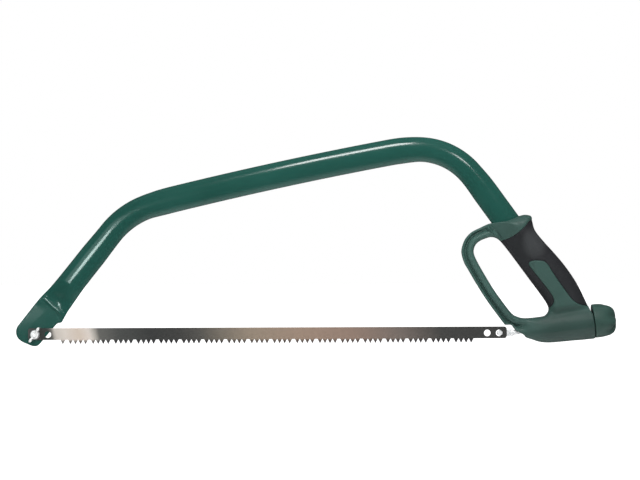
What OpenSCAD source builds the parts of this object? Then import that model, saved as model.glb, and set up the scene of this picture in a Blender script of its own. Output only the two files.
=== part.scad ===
// Bow saw with an oval-tube bow, a replaceable 530 mm blade, a screw
// tensioner and a two-component handle with a knuckle guard.
// Units are millimetres, +Z is up, +X runs from the nose to the handle and
// the blade lies on the -Y side. The origin is the middle of the hand grip.

/* [Frame tube] */
// Width of the oval tube, seen from the side
tube_w = 30; // [29:0.5:31]
// Thickness of the oval tube, across the saw
tube_t = 16; // [15:0.5:17]
// Wall of the tube
tube_wall = 1.4; // [1.0:0.1:1.6]
// Thickness of the pressed-flat nose (two walls)
nose_t = 2.8; // [2.4:0.1:3.2]

/* [Blade] */
// Distance between the two working holes of the blade
blade_holes = 530; // [529.9:0.05:530.1]
// Height of the blade body above the tooth roots
blade_h = 13.2; // [12:0.1:13.8]
// Blade thickness
blade_t = 0.9; // [0.7:0.1:1.0]
// Diameter of the four holes
blade_hole_d = 7.6; // [7.6:0.1:7.8]
// Distance from each working hole to its spare hole
spare_pitch = 13.6; // [13:0.1:14.4]
// Height of a peg tooth from root to tip
tooth_h = 4.9; // [4.3:0.1:5.5]
// Spacing of the teeth inside a group of four
tooth_pitch = 5.77; // [5.6:0.01:5.85]
// Spacing of the groups of four teeth
group_pitch = 25.95; // [25.9:0.01:26.0]

/* [Tensioner] */
// Diameter of the draw rod and of its hook pin
rod_d = 6; // [5.8:0.1:6]
// Upward tilt of the draw rod, degrees
rod_tilt = 7.9; // [7.7:0.1:8.1]
// Diameter of the tension knob
knob_d = 39; // [37:0.5:40]
// Length of the tension knob
knob_l = 25.6; // [25:0.1:27]
// Number of finger scallops in the knob
knob_scallops = 5; // [4:1:6]

/* [Nose clamp] */
// Diameter of the clamp screw
screw_d = 5; // [4.8:0.1:5]
// Span across the wings of the wing nut
wing_span = 20.5; // [19:0.5:24]
// Angle of the wings above the blade line, degrees
wing_angle = 56; // [0:1:180]

/* [Handle] */
// Thickness of the hand grip, across the saw
grip_t = 31; // [30:0.5:32]
// Thickness of the knuckle guard bar
guard_t = 16; // [14:0.5:18]
// Thickness of the thin rib round the guard
rib_t = 5; // [4:0.5:6]
// Depth of the soft black cover over the hard core
cover_t = 2.4; // [2:0.2:2.8]

/* [Hidden] */

$fn = 64;

green = [0.02, 0.20, 0.14];
plastic_green = [0.10, 0.30, 0.22];
black = [0.06, 0.06, 0.07];
steel = [0.62, 0.62, 0.60];
zinc = [0.72, 0.73, 0.74];

// Side-view positions are [x, z], measured from the blade line near the nose clamp screw.
grip_middle = [574.5, 79.3];
screw_x = -0.5;
front_hole_x = 0.75;
rear_hole_x = front_hole_x + blade_holes;
nose_plane = -1.6;                     // y where the blade's back face meets the nose
blade_face = nose_plane - blade_t;     // y of the blade's outer face
nose_back = nose_plane + nose_t;       // y of the nose's far face

// Bow centreline: start of the first bend, then the heading of each
// straight or joint (degrees above +X) and the radius of each bend.
bow_start = [86.85, 115.97];
bow_angles = [51.26, 16.65, 13.57, 10.41, 2.87, -48.47, -54.17];
bow_radii = [94.8, 505.8, 4555, 227, 78.1, 230.7];
bend_count = len(bow_radii);
front_leg_l = 148.71;
rear_leg_l = 176;

// Draw rod: distances run along its axis from rod_start.
rod_start = [545, 0];
knob_at = 94.8;        // knob's front face
washer_d = 18;
washer_t = 1.6;
knob_nut_d = 11.5;     // across corners
knob_nut_h = 5;
front_washer_t = 1;

// Added to a diameter for clearance
close_fit = 0.1;
free_fit = 0.6;

// Placement helpers

function along(start, angle, distance) =
    [start[0] + distance * cos(angle), start[1] + distance * sin(angle)];

// Moves side-view positions so that the origin is the middle of the hand grip.
module placed() translate([-grip_middle[0], 0, -grip_middle[1]]) children();

// Side-view shape turned upright: x stays x, y becomes z, z becomes -y.
module side() rotate([90, 0, 0]) children();

// Side-view shape filling the saw from y0 to y1.
module slab(y0, y1) translate([0, y1, 0]) side() linear_extrude(y1 - y0) children();

// Frame some way along a side-view line, z along the line and x to its left.
module on_line(start, angle, distance) {
    point = along(start, angle, distance);
    translate([point[0], 0, point[1]])
        side() rotate([0, 0, angle + 90]) rotate([90, 0, 0]) children();
}
module on_front_leg(distance) on_line(nose_start, bow_angles[0], distance) children();
module on_rear_leg(distance)
    on_line(bow_point(bend_count), bow_angles[bend_count], distance) children();
module on_rod(distance) on_line(rod_start, rod_tilt, distance) children();

// Catmull-Rom step between two points, given their neighbours.
function spline(before, from, to, after, t) =
    0.5 * ((2 * from) + (to - before) * t
        + (2 * before - 5 * from + 4 * to - after) * t * t
        + (3 * from - before - 3 * to + after) * t * t * t);
// Smooth closed curve through a list of points, in so many steps per point.
function smooth(points, steps) =
    let (count = len(points))
    [for (i = [0 : count - 1]) for (k = [0 : steps - 1])
        spline(points[(i + count - 1) % count], points[i],
            points[(i + 1) % count], points[(i + 2) % count], k / steps)];

// Bow tube

lap = 0.5;           // overlap of neighbouring pieces
lap_arc = 29;        // about the same lap on a bend, degrees times radius
// Every other piece of the sweep has a wall this much fuller on both faces, so
// that its neighbours end inside it.
fuller = 0.02;

function bend_end(start, radius, angle_in, angle_out) =
    [start[0] + radius * (sin(angle_in) - sin(angle_out)),
     start[1] + radius * (cos(angle_out) - cos(angle_in))];
// Start of bend i, and the start of the rear leg after the last bend.
function bow_point(i) = i == 0 ? bow_start
    : bend_end(bow_point(i - 1), bow_radii[i - 1], bow_angles[i - 1], bow_angles[i]);

// Oval of the bow tube, in short flats so that its long bent sweep stays clean.
module oval(width, thickness) {
    steps = 8;
    end_x = (width - thickness) / 2;
    radius = thickness / 2;
    polygon([for (end = [1, -1]) for (i = [0 : steps])
        let (angle = -90 * end + 180 * i / steps)
        [end * end_x + radius * cos(angle), radius * sin(angle)]]);
}

module tube_section(extra = 0) {
    bore = 2 * tube_wall + 2 * extra;
    difference() {
        oval(tube_w + 2 * extra, tube_t + 2 * extra);
        oval(tube_w - bore, tube_t - bore);
    }
}

module bend(i) {
    start = bow_point(i);
    angle_in = bow_angles[i];
    angle_out = bow_angles[i + 1];
    radius = bow_radii[i];
    lap_angle = lap_arc / radius;
    translate([start[0] + radius * sin(angle_in), 0, start[1] - radius * cos(angle_in)])
        side() rotate([0, 0, angle_out + 90 - lap_angle])
            rotate_extrude(angle = angle_in - angle_out + 2 * lap_angle, $fn = 240)
                translate([radius, 0]) tube_section(i % 2 == 1 ? fuller : 0);
}

// Nose, measured along the front leg: u from the clamp end, v to its left.
nose_start = along(bow_start, bow_angles[0], -front_leg_l);
flat_end = 43;                    // u where the flat nose begins to open out
oval_start = 74;                  // u where the full oval begins
cavity_start = flat_end + 5;
profile_steps = 10;
cavity_steps = 8;

// [u, v] round the nose
nose_pts = [
    [-12.1, 3], [-12.15, 5.3], [-11.9, 7.5], [-11.3, 9.7], [-10.3, 11.6], [-8.8, 13.5],
    [-6.9, 15], [-4.8, 16.3], [-2.4, 17], [4, 17.2], [32, 17.4], [40, 18],
    [oval_start + 3, 18], [oval_start + 3, -19], [37.5, -19], [33.5, -18.8], [31, -18],
    [28.6, -16.6], [26, -16.1], [8, -15.6], [-1, -15.4], [-2.9, -15.2], [-4.6, -14.6],
    [-6, -13.7], [-7.2, -12.4], [-8.2, -10.8], [-9, -9], [-10.4, -4], [-11.4, -0.5]];

// 0 on the flat nose, rising to 1 at the full oval
function opening_out(u) = min(1, max(0, (u - flat_end) / (oval_start - flat_end)));
// Half thickness at u, flaring past the tube at the end
function nose_half(u) =
    let (t = opening_out(u))
    nose_t / 2 + (tube_t / 2 - nose_t / 2) * (0.35 * t + 0.65 * t * t * (3 - 2 * t))
        + 0.12 * max(0, u - oval_start + 3);
// y of the middle of the thickness at u
function nose_mid(u) = (nose_plane + nose_t / 2) * (1 - opening_out(u));

module nose_side()
    translate([nose_start[0], 0, nose_start[1]])
        side() rotate([0, 0, bow_angles[0]]) children();

// Wide block with the nose's thickness profile, less a wall on both faces.
module nose_band(stations, wall = 0) {
    rows = [for (u = stations) [u, nose_mid(u), max(0.05, nose_half(u) - wall)]];
    nose_side() rotate([90, 0, 0]) mirror([0, 1, 0])
        translate([0, 0, -40]) linear_extrude(80) polygon(concat(
            [for (row = rows) [row[0], row[1] + row[2]]],
            [for (i = [len(rows) - 1 : -1 : 0]) [rows[i][0], rows[i][1] - rows[i][2]]]));
}

module nose_solid() {
    profile_l = oval_start + 2 - flat_end;
    intersection() {
        nose_side() translate([0, 0, -20]) linear_extrude(40) polygon(nose_pts);
        nose_band(concat([-20],
            [for (i = [0 : profile_steps]) flat_end + profile_l * i / profile_steps]));
        // rounded edges, spreading from the oval tube to the flat nose
        hull() {
            on_front_leg(-20) translate([-0.8, 0, 0])
                linear_extrude(57) oval(tube_w + 6.4, tube_t);
            on_front_leg(oval_start) linear_extrude(1) oval(tube_w, tube_t);
        }
    }
}

module nose_cavity() {
    length = oval_start + 3 - cavity_start;
    bore = 2 * tube_wall;
    intersection() {
        nose_band([for (i = [0 : cavity_steps]) cavity_start + length * i / cavity_steps],
            tube_wall);
        on_front_leg(cavity_start - 1)
            linear_extrude(length) oval(tube_w - bore - 0.01, tube_t - bore - 0.01);
    }
}

module frame_tube() {
    leg_from = oval_start + 0.4;
    hole_w = screw_d + close_fit;
    color(green) placed() {
        difference() {
            nose_solid();
            nose_cavity();
            // square hole for the clamp screw's neck
            translate([screw_x, 0, 0]) rotate([0, 45, 0])
                cube([hole_w, 30, hole_w], center = true);
        }
        on_front_leg(leg_from) linear_extrude(front_leg_l - leg_from + lap)
            tube_section(fuller);
        for (i = [0 : bend_count - 1]) bend(i);
        on_rear_leg(-lap) linear_extrude(rear_leg_l + lap) tube_section();
    }
}

// Handle

handle_half = 22;    // beyond half of the handle's thickness
socket_at = 20;      // start of the socket, along the rear leg
grip_w = 43;         // width of the grip, seen from the side

// [x, z] outline of the handle, clockwise from the collar
handle_pts = [
    [521.2, 125.6], [538, 129.4], [555, 134.2], [562, 135.3], [568.2, 133.4], [569.6, 127],
    [572.7, 117], [582.5, 104.5], [594, 91.8], [604.2, 79.7], [613.9, 66.4], [622.2, 52.7],
    [628.8, 38.9], [633, 29.5], [634.6, 25], [638, 19.5], [640, 12], [641.2, 3], [641.2, -6],
    [632.5, -7.7], [615.3, -9.2], [598, -10.8], [586.7, -11.4], [577, -10.5], [568, -7.6],
    [561.8, -5.5], [559.6, -2.8], [556.3, -0.8], [551, 1.6], [547.4, 5.2], [544.4, 8.7],
    [538.8, 8.9], [537, 9.5], [534.7, 12.4], [531.8, 16.3], [521.6, 30.1], [512.4, 43.5],
    [503.8, 57.7], [495.9, 71.5], [490.8, 80.6], [488, 90.5], [488.4, 97.8], [492.1, 107.4],
    [499, 115], [508.2, 119.9]];
// [x, z] hand opening inside the knuckle guard
opening_pts = [
    [521.9, 109.4], [528.7, 107.7], [534.4, 102.5], [543.5, 91], [556.4, 73.5], [569, 56.3],
    [581.5, 39.1], [586.3, 31], [587.2, 25.3], [583.9, 19.6], [576.5, 17.9], [560.4, 16.9],
    [552.4, 18.4], [545.8, 22], [536.5, 33.5], [523.9, 51.4], [511.9, 71.4], [504.6, 85.1],
    [502.2, 93], [504, 100], [508.5, 104.6], [515, 107.6]];
// [x, z] soft cover: front edge, seam under the collar, back edge, round the window
cover_pts = [
    [588.4, 28], [584, 30], [560, 56], [520, 100], [526, 104], [534.9, 105.4],
    [548.1, 111.6], [558.6, 120.3], [565.6, 128.1], [573, 129.5], [600, 110], [640, 60],
    [640, 30.4], [631.3, 30.6], [621.7, 33.3], [612.9, 41.2], [604.2, 51.8], [597.1, 64.1],
    [590.1, 76.4], [583.1, 81.7], [576, 82.6], [570.5, 81.4], [569.5, 76], [576.2, 65.9],
    [589.2, 48.3], [593.7, 41.3], [593.9, 36.1], [591.8, 30.8]];
// [x, z] part of the side view that holds the knuckle guard
guard_zone_pts = [
    [480, 60], [480, 140], [546, 140], [530, 118], [545, 100], [610, 24], [600, -20],
    [480, -20]];
// [distance along the rod, radius] of the lower housing
housing_pts = [
    [7, 0], [7, 5.8], [13.5, 6.6], [18, 8.8], [24, 11.4], [31, 14.2], [38, 16], [46, 17.1],
    [58, 17.8], [74, 18.6], [90, 19.2], [94.3, 19.2], [94.3, 0]];

module opening_outline() polygon(smooth(opening_pts, 4));

module handle_outline() {
    difference() {
        polygon(smooth(handle_pts, 3));
        opening_outline();
    }
}

module stadium(width, thickness) {
    square([width - thickness, thickness], center = true);
    for (end = [-1, 1])
        translate([end * (width - thickness) / 2, 0]) circle(d = thickness);
}

// Hand grip round the rear leg, sunk by an inset.
module grip_bar(inset = 0)
    on_rear_leg(44) translate([2.5, 0, 0])
        linear_extrude(150) stadium(grip_w - 2 * inset, grip_t - 2 * inset);

module grip_prism() {
    grip_bar();
    // the collar and its horn, on the tube's rear side
    on_rear_leg(30) translate([4.25, 0, 0])
        linear_extrude(34) stadium(grip_w + 3.5, grip_t - 3);
}

// Lower housing, turned about the rod axis.
module housing()
    on_rod(0) rotate_extrude($fn = 96) polygon([for (p = housing_pts) [p[1], p[0]]]);

module handle_mass() {
    intersection() {
        slab(-handle_half, handle_half) handle_outline();
        union() {
            grip_prism();
            housing();
        }
    }
    // knuckle guard bar
    slab(-guard_t / 2, guard_t / 2) intersection() {
        difference() {
            offset(r = 9.2) opening_outline();
            opening_outline();
        }
        handle_outline();
        polygon(guard_zone_pts);
    }
    // thin rib round the guard
    slab(-rib_t / 2, rib_t / 2) intersection() {
        handle_outline();
        polygon(guard_zone_pts);
    }
}

// Space of the soft cover, outside the hard core.
module cover_zone() {
    difference() {
        slab(-handle_half, handle_half) polygon(cover_pts);
        grip_bar(cover_t);
    }
}

module handle_body() {
    color(plastic_green) placed() difference() {
        handle_mass();
        cover_zone();
        // socket for the rear leg of the bow
        on_rear_leg(socket_at)
            linear_extrude(rear_leg_l - socket_at) oval(tube_w + 0.2, tube_t + 0.2);
        // tunnel for the draw rod
        on_rod(-10) cylinder(d = rod_d + free_fit, h = 130);
        // flat rear face and the seat for the thrust washer
        on_rod(knob_at - 0.5) translate([-30, -30, 0]) cube([60, 60, 20]);
        on_rod(knob_at - washer_t) cylinder(d = washer_d + free_fit, h = 10);
    }
}

module grip_overmould() {
    color(black) placed() intersection() {
        slab(-handle_half, handle_half) handle_outline();
        intersection() {
            grip_prism();
            cover_zone();
        }
    }
}

// Blade

blade_top = 7.2;         // above the hole line
blade_corner = 3;        // corner chamfer
tooth_start = 14.3;      // x of the first place in the first group
tooth_half_base = 2.65;
tooth_half_tip = 0.18;

module blade_outline() {
    front = front_hole_x - 8.95;
    rear = rear_hole_x + 8.65;
    root = blade_top - blade_h;
    cut = blade_corner;
    difference() {
        union() {
            polygon([
                [front, root + cut], [front + cut, root], [rear - cut, root],
                [rear, root + cut], [rear, blade_top - cut], [rear - cut, blade_top],
                [front + cut, blade_top], [front, blade_top - cut]]);
            // the first group has only its last tooth
            for (group = [0 : 18]) for (k = [0 : 3]) if (group > 0 || k == 3) {
                x = tooth_start + group * group_pitch + k * tooth_pitch;
                polygon([
                    [x - tooth_half_base, root + 0.3], [x - tooth_half_tip, root - tooth_h],
                    [x + tooth_half_tip, root - tooth_h], [x + tooth_half_base, root + 0.3]]);
            }
        }
        for (x = [front_hole_x, front_hole_x + spare_pitch,
                  rear_hole_x - spare_pitch, rear_hole_x])
            translate([x, 0]) circle(d = blade_hole_d);
    }
}

module blade() {
    color(steel) placed() slab(blade_face, nose_plane) blade_outline();
}

// Tensioner

module draw_rod() {
    pin_x = rear_hole_x + 0.75;
    strap_end_x = 546.5;
    strap_h = 7.4;
    strap_t = 3.6;
    pin_past_blade = 3.4;
    before_start = 1.5;
    past_knob_face = 18;
    color(zinc) placed() {
        // flattened hook end behind the blade
        translate([pin_x, nose_plane, -strap_h / 2])
            cube([strap_end_x - pin_x, strap_t, strap_h]);
        translate([pin_x, nose_plane + strap_t, 0])
            side() cylinder(d = rod_d, h = strap_t + blade_t + pin_past_blade);
        // threaded shank
        on_rod(-before_start)
            cylinder(d = rod_d, h = before_start + knob_at + past_knob_face);
    }
}

module knob_scallop(k) {
    rotate([0, 0, 360 * k / knob_scallops])
        translate([31, 0, 29]) sphere(r = 20.6, $fn = 96);
}

module tension_knob() {
    radius = knob_d / 2;
    rim = 0.7;      // chamfer of the front rim
    dome = 9.5;     // rounding of the domed end
    flat_r = radius - dome;
    dome_at = knob_l - dome;
    color(plastic_green) placed() on_rod(knob_at) difference() {
        rotate_extrude($fn = 128) {
            polygon([[0, 0], [radius - rim, 0], [radius, rim], [radius, dome_at],
                [flat_r, dome_at], [flat_r, knob_l], [0, knob_l]]);
            intersection() {
                translate([flat_r, dome_at]) circle(r = dome);
                translate([flat_r - 0.01, dome_at - 0.01]) square(dome + 1);
            }
        }
        for (k = [0 : knob_scallops - 1]) knob_scallop(k);
        // blind bore for the rod and hexagonal recess for the nut
        translate([0, 0, -1]) cylinder(d = rod_d + free_fit, h = 21);
        translate([0, 0, -1]) cylinder(d = knob_nut_d + 0.2, h = knob_nut_h + 1.2, $fn = 6);
    }
}

module knob_nut() {
    color(zinc) placed() on_rod(knob_at + 0.1) difference() {
        cylinder(d = knob_nut_d, h = knob_nut_h, $fn = 6);
        translate([0, 0, -1]) cylinder(d = rod_d + close_fit, h = knob_nut_h + 2);
    }
}

module washer(outer_d, bore_d, thickness) {
    difference() {
        cylinder(d = outer_d, h = thickness);
        translate([0, 0, -1]) cylinder(d = bore_d, h = 4);
    }
}

module thrust_washer() {
    color(zinc) placed() on_rod(knob_at - washer_t) washer(washer_d, rod_d + 0.4, washer_t);
}

// Nose clamp

module front_screw() {
    shank_reach = 11.5;     // shank ends this far on the -Y side
    color(zinc) placed() translate([screw_x, 0, 0]) {
        // domed head
        translate([0, nose_back + 0.02, 0]) side() rotate([180, 0, 0]) intersection() {
            cylinder(d = 12, h = 3);
            translate([0, 0, -5.2]) sphere(r = 8.2, $fn = 96);
        }
        // square neck in the nose, then the plain shank
        rotate([0, 45, 0]) translate([-screw_d / 2, nose_plane + 0.1, -screw_d / 2])
            cube([screw_d, nose_t - 0.06, screw_d]);
        translate([0, nose_back, 0]) side() cylinder(d = screw_d, h = nose_back + shank_reach);
    }
}

module front_washer() {
    color(zinc) placed() translate([screw_x, blade_face, 0]) side()
        washer(11, screw_d + close_fit, front_washer_t);
}

// One wing and its round tip, on the +x (1) or -x (-1) side of the hub.
module wing(end) {
    tip_r = 3.1;
    half_span = wing_span / 2;
    polygon([
        [end * 2.6, 0.8], [end * 6.5, 1.6], [end * 8.3, 4.4],
        [end * (half_span - 3.2), 8.4], [end * 5.2, 8.2], [end * 3.2, 4.8]]);
    translate([end * (half_span - tip_r), 7.4]) circle(r = tip_r);
}

module wing_nut() {
    wing_t = 2.2;
    color(zinc) placed() translate([screw_x, blade_face - front_washer_t, 0])
        side() rotate([0, 0, wing_angle]) difference() {
            union() {
                cylinder(d1 = 9.4, d2 = 8.2, h = 5.2, $fn = 64);
                for (end = [-1, 1]) rotate([90, 0, 0])
                    translate([0, 0, -wing_t / 2]) linear_extrude(wing_t) wing(end);
            }
            translate([0, 0, -1]) cylinder(d = screw_d + close_fit, h = 16);
        }
}

frame_tube();
handle_body();
grip_overmould();
blade();
draw_rod();
tension_knob();
knob_nut();
thrust_washer();
front_screw();
front_washer();
wing_nut();
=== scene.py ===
"""Hacksaw with a bent oval-tube bow, closed moulded handle and draw-rod blade tension.

Pieces are designed in millimetres: x runs along the blade from the nose clamp screw to the
handle, z is up (the teeth point down) and y runs across the saw. The viewer stands at -y.
"""
import math
from functools import cached_property
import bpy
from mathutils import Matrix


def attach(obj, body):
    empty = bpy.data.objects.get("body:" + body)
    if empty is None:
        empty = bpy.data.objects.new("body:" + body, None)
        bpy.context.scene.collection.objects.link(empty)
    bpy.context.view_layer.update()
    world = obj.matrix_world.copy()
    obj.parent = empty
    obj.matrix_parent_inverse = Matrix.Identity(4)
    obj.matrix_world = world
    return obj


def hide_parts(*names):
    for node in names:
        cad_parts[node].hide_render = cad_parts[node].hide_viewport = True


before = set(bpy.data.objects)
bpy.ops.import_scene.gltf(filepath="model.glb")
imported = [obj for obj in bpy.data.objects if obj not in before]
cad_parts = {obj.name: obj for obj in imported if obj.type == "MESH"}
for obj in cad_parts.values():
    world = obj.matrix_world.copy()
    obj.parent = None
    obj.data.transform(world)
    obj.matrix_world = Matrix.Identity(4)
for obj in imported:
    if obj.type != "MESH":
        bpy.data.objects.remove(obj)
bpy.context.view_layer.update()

from types import SimpleNamespace

import bmesh
import bpy
import numpy as np
import openvdb
from mathutils import Matrix, Vector

MM = 0.001
# The scene origin, in the design frame.
ORIGIN_X, ORIGIN_Z = 574.5, 79.3

# Sampling of the pieces meshed from distance fields.
HANDLE_GRID = 0.5
FITTING_GRID = 0.16

# Plane of the blade's back face, against which the nose plate and the rod's pin stand.
BLADE_BACK_Y = -1.6
BLADE_HALF_THICKNESS = 0.45

TUBE_HALF_WIDTH = 15.0
TUBE_HALF_DEPTH = 8.0


def scene_x(x):
    return (x - ORIGIN_X) * MM


def scene_z(z):
    return (z - ORIGIN_Z) * MM


def to_scene(points):
    """Design millimetres to scene metres."""
    out = np.array(points, float)
    out[..., 0] -= ORIGIN_X
    out[..., 2] -= ORIGIN_Z
    return out * MM


# ---------------------------------------------------------------- plane geometry
def unit(heading):
    """Direction in the xz plane, in degrees from +x towards +z."""
    angle = math.radians(heading)
    return np.array([math.cos(angle), math.sin(angle)])


def left(heading):
    angle = math.radians(heading)
    return np.array([-math.sin(angle), math.cos(angle)])


def in_frame(x, z, origin, along, across):
    """Coordinates along and across a line through origin."""
    return (
        (x - origin[0]) * along[0] + (z - origin[1]) * along[1],
        (x - origin[0]) * across[0] + (z - origin[1]) * across[1],
    )


def spline(points, per_span, closed=True):
    """Catmull-Rom curve with per_span samples between neighbouring points."""
    p = np.asarray(points, float)
    count = len(p)
    out = []
    for i in range(count if closed else count - 1):
        picks = np.arange(i - 1, i + 3)
        a, b, c, d = p[picks % count if closed else np.clip(picks, 0, count - 1)]
        for k in range(per_span):
            t = k / per_span
            out.append(
                0.5
                * (
                    2 * b
                    + (c - a) * t
                    + (2 * a - 5 * b + 4 * c - d) * t * t
                    + (3 * b - a - 3 * c + d) * t**3
                )
            )
    if not closed:
        out.append(p[-1])
    return np.array(out)


# ---------------------------------------------------------------- distance fields
def poly_sdf(polygon, x, z):
    """Signed distance to a closed polygon, negative inside."""
    starts = np.asarray(polygon, np.float32)
    ends = np.roll(starts, -1, 0)
    nearest = np.full(x.shape, 1e9, np.float32)
    inside = np.zeros(x.shape, bool)
    for (ax, az), (bx, bz) in zip(starts, ends):
        dx, dz = bx - ax, bz - az
        length2 = dx * dx + dz * dz
        if length2 < 1e-12:
            continue
        t = np.clip(((x - ax) * dx + (z - az) * dz) / length2, 0, 1)
        distance2 = (x - ax - t * dx) ** 2 + (z - az - t * dz) ** 2
        np.minimum(nearest, distance2, out=nearest)
        inside ^= ((az > z) != (bz > z)) & (
            x < (bx - ax) * (z - az) / (bz - az + 1e-12) + ax
        )
    distance = np.sqrt(nearest)
    return np.where(inside, -distance, distance)


def smin(a, b, blend):
    """Union of two fields with a fillet."""
    h = np.clip(0.5 + 0.5 * (b - a) / blend, 0, 1)
    return b + (a - b) * h - blend * h * (1 - h)


def smax(a, b, blend):
    """Intersection of two fields with a rounded edge."""
    return -smin(-a, -b, blend)


def smoothstep(x, start, end):
    """0 at start to 1 at end; start may be the larger."""
    t = np.clip((x - start) / (end - start), 0, 1)
    return t * t * (3 - 2 * t)


def ellipsoid(offsets, radii, power=2):
    """Approximate distance to an ellipsoid, or to a squarer one with a higher power."""
    total = sum(np.abs(offset / r) ** power for offset, r in zip(offsets, radii))
    return (total ** (1 / power) - 1) * min(radii)


def grid_axes(spacing, *spans):
    return [np.arange(start, end, spacing, dtype=np.float32) for start, end in spans]


# ---------------------------------------------------------------- meshes
def face_out(faces, verts):
    """Turns a closed shell's faces outwards."""
    v = np.asarray(verts, float)
    centre = v.mean(0)
    volume = 0.0
    for f in faces:
        a = v[f[0]] - centre
        for i in range(1, len(f) - 1):
            volume += np.dot(a, np.cross(v[f[i]] - centre, v[f[i + 1]] - centre))
    return faces if volume > 0 else [tuple(reversed(f)) for f in faces]


def loft(rings, closed=False):
    """Shell through equal rings: end to end with fan caps, or closed on itself."""
    size, count = len(rings[0]), len(rings)
    verts = np.concatenate([np.asarray(r, float) for r in rings])
    faces = []
    for i in range(count if closed else count - 1):
        a, b = i * size, (i + 1) % count * size
        for k in range(size):
            k2 = (k + 1) % size
            faces.append((a + k, a + k2, b + k2, b + k))
    if not closed:
        verts = np.concatenate([verts, [np.mean(rings[0], 0)], [np.mean(rings[-1], 0)]])
        total = len(verts)
        last = (count - 1) * size
        for k in range(size):
            k2 = (k + 1) % size
            faces.append((k2, k, total - 2))
            faces.append((last + k, last + k2, total - 1))
    return verts, face_out(faces, verts)


def sdf_mesh(field, axes, spacing):
    """Quads of the zero level of a field sampled on the axes."""
    grid = openvdb.FloatGrid(4.0)
    grid.copyFromArray(np.ascontiguousarray(field, dtype=np.float32))
    points, quads = grid.convertToQuads(0.0)
    points = np.asarray(points, float) * spacing + np.array([a[0] for a in axes], float)
    return points, face_out([tuple(q) for q in quads.tolist()], points)


def add_piece(name, shell, material, body, stands_for=None):
    """Smooth-shaded object of a (verts, faces) shell in design millimetres."""
    verts, faces = shell
    mesh = bpy.data.meshes.new(name)
    mesh.from_pydata(to_scene(verts).tolist(), [], [tuple(int(i) for i in f) for f in faces])
    mesh.validate()
    mesh.update()
    mesh.polygons.foreach_set("use_smooth", [True] * len(mesh.polygons))
    piece = bpy.data.objects.new(name, mesh)
    bpy.context.scene.collection.objects.link(piece)
    mesh.materials.append(material)
    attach(piece, body)
    if stands_for:
        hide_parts(stands_for)
    return piece


# ---------------------------------------------------------------- shader building
def srgb(r, g, b):
    def linear(c):
        c /= 255.0
        return c / 12.92 if c <= 0.04045 else ((c + 0.055) / 1.055) ** 2.4

    return (linear(r), linear(g), linear(b), 1.0)


def grey(level):
    return (level, level, level, 1)


def shade(colour, gain):
    """A colour darkened or lightened by a factor."""
    return tuple(min(1, c * gain) for c in colour[:3]) + (1.0,)


class Nodes:
    """Short-hands over a node tree; most return the new node's output socket."""

    def __init__(self, tree):
        self.tree = tree

    @cached_property
    def coords(self):
        return self.add("ShaderNodeTexCoord").outputs

    def add(self, kind, **settings):
        node = self.tree.nodes.new(kind)
        for key, value in settings.items():
            setattr(node, key, value)
        return node

    def link(self, source, socket):
        self.tree.links.new(source, socket)

    def feed(self, socket, value):
        """Sets a socket to a constant or links it to an output."""
        if isinstance(value, (int, float, tuple)):
            socket.default_value = value
        else:
            self.link(value, socket)

    def axes(self, space="Object"):
        """X, Y and Z outputs of the shaded point."""
        split = self.add("ShaderNodeSeparateXYZ")
        self.link(self.coords[space], split.inputs[0])
        return split.outputs

    def noise(self, scale, detail=3.0, rough=0.5, stretch=None):
        node = self.add("ShaderNodeTexNoise")
        node.inputs["Scale"].default_value = scale
        node.inputs["Detail"].default_value = detail
        node.inputs["Roughness"].default_value = rough
        vector = self.coords["Object"]
        if stretch:
            mapping = self.add("ShaderNodeMapping")
            mapping.inputs["Scale"].default_value = stretch
            self.link(vector, mapping.inputs["Vector"])
            vector = mapping.outputs["Vector"]
        self.link(vector, node.inputs["Vector"])
        return node.outputs["Fac"]

    def ramp(self, value, stops):
        """Colour ramp; stops are (position, colour), in rising order."""
        node = self.add("ShaderNodeValToRGB")
        elements = node.color_ramp.elements
        while len(elements) > 1:
            elements.remove(elements[-1])
        elements[0].position, elements[0].color = stops[0]
        for position, colour in stops[1:]:
            elements.new(position).color = colour
        self.link(value, node.inputs["Fac"])
        return node.outputs["Color"]

    def mask(self, value, low, high, top=1):
        """Grey ramp from 0 at low to top at high."""
        return self.ramp(value, [(low, grey(0)), (high, grey(top))])

    def map_range(self, value, start, end, top=1.0, smooth=False):
        """0 at start to top at end, clamped."""
        node = self.add("ShaderNodeMapRange")
        if smooth:
            node.interpolation_type = "SMOOTHSTEP"
        node.inputs[1].default_value = start
        node.inputs[2].default_value = end
        node.inputs[4].default_value = top
        self.link(value, node.inputs[0])
        return node.outputs[0]

    def mix(self, factor, a, b, blend="MIX"):
        node = self.add("ShaderNodeMix", data_type="RGBA", blend_type=blend)
        for index, value in ((0, factor), (6, a), (7, b)):
            self.feed(node.inputs[index], value)
        return node.outputs[2]

    def math(self, operation, a, b, c=0.0):
        node = self.add("ShaderNodeMath", operation=operation)
        for socket, value in zip(node.inputs, (a, b, c)):
            self.feed(socket, value)
        return node.outputs[0]

    def scaled(self, value, gain, offset):
        return self.math("MULTIPLY_ADD", value, gain, offset)

    def bump(self, height, strength, distance, over=None):
        """Bump normal, laid over another normal if one is given."""
        node = self.add("ShaderNodeBump")
        node.inputs["Strength"].default_value = strength
        node.inputs["Distance"].default_value = distance
        self.link(height, node.inputs["Height"])
        if over is not None:
            self.link(over, node.inputs["Normal"])
        return node.outputs["Normal"]


class Material(Nodes):
    def __init__(self, name):
        self.material = bpy.data.materials.new(name)
        self.material.use_nodes = True
        super().__init__(self.material.node_tree)
        self.shader = self.tree.nodes["Principled BSDF"]

    def finish(self, **values):
        """Feeds the Principled shader; underscores stand for spaces in socket names."""
        for key, value in values.items():
            self.feed(self.shader.inputs[key.replace("_", " ")], value)
        return self.material


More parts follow.
